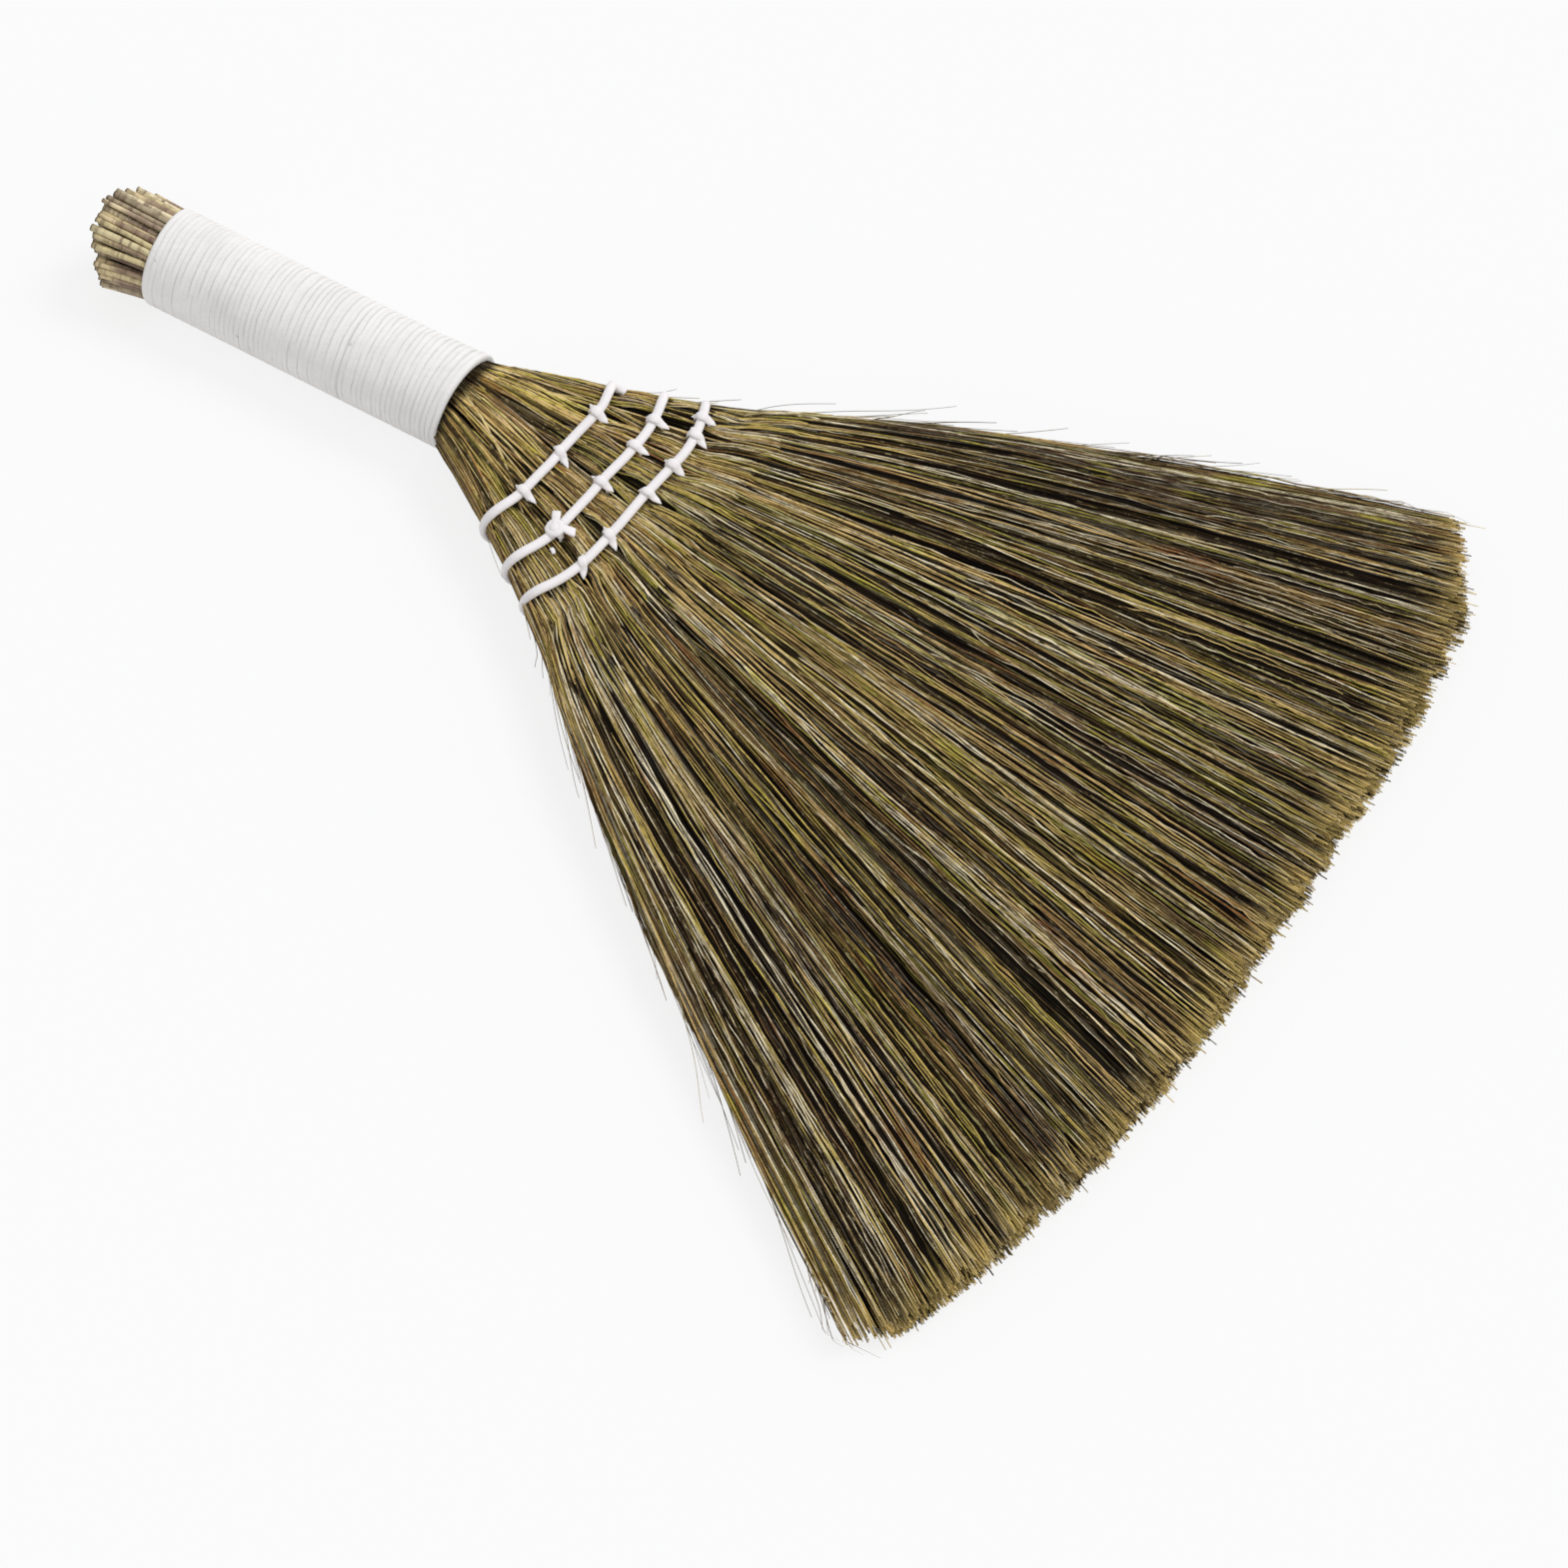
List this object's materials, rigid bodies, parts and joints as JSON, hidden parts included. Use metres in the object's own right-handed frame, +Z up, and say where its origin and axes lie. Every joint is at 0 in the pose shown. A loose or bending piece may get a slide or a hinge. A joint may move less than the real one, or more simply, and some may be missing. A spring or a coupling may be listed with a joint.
{
  "type": "straw hand broom",
  "caption": "Short straw hand broom with a cord-wound grip of stalks and a wide flat fan of straws, bound by rows of stitched cord; it lies flat on the floor.",
  "frame": {"origin": "on the floor under the middle of the broom's overall box, as it lies flat", "axes": "+X along the grip from its butt towards the head, +Z up from the floor"},
  "size_m": [0.4983, 0.3726, 0.0365],
  "materials": {
    "stalk": "dry grass stalks, olive tan with darker cut ends",
    "straw": "fine dry straw, olive green to tan and brown in streaks",
    "winding_cord": "off-white smooth cord, wound tight",
    "row_cord": "off-white cord",
    "stitch_cord": "off-white cord, tied in small stitches",
    "tie_cord": "plain undyed cord, hidden under the winding"
  },
  "bodies": {
    "root": {"stalks_1": "stalk", "stalks_2": "stalk", "stalks_3": "stalk", "stalks_4": "stalk", "stalks_5": "stalk", "stalks_6": "stalk", "stalks_7": "stalk", "straw_sheaf_1": "straw", "straw_sheaf_2": "straw", "straw_sheaf_3": "straw", "straw_sheaf_4": "straw", "straw_sheaf_5": "straw", "straw_sheaf_6": "straw", "straw_sheaf_7": "straw", "grip_winding": "winding_cord", "row_cord_1": "row_cord", "row_cord_2": "row_cord", "row_cord_3": "row_cord", "stitch_1_1": "stitch_cord", "stitch_1_2": "stitch_cord", "stitch_1_3": "stitch_cord", "stitch_2_2": "stitch_cord", "stitch_2_3": "stitch_cord", "stitch_2_4": "stitch_cord", "stitch_3_1": "stitch_cord", "stitch_3_2": "stitch_cord", "stitch_3_3": "stitch_cord", "stitch_3_4": "stitch_cord", "stitch_3_5": "stitch_cord", "stitch_3_6": "stitch_cord", "finishing_knot": "stitch_cord", "inner_tie_1": "tie_cord", "inner_tie_2": "tie_cord"}
  },
  "joints": []
}
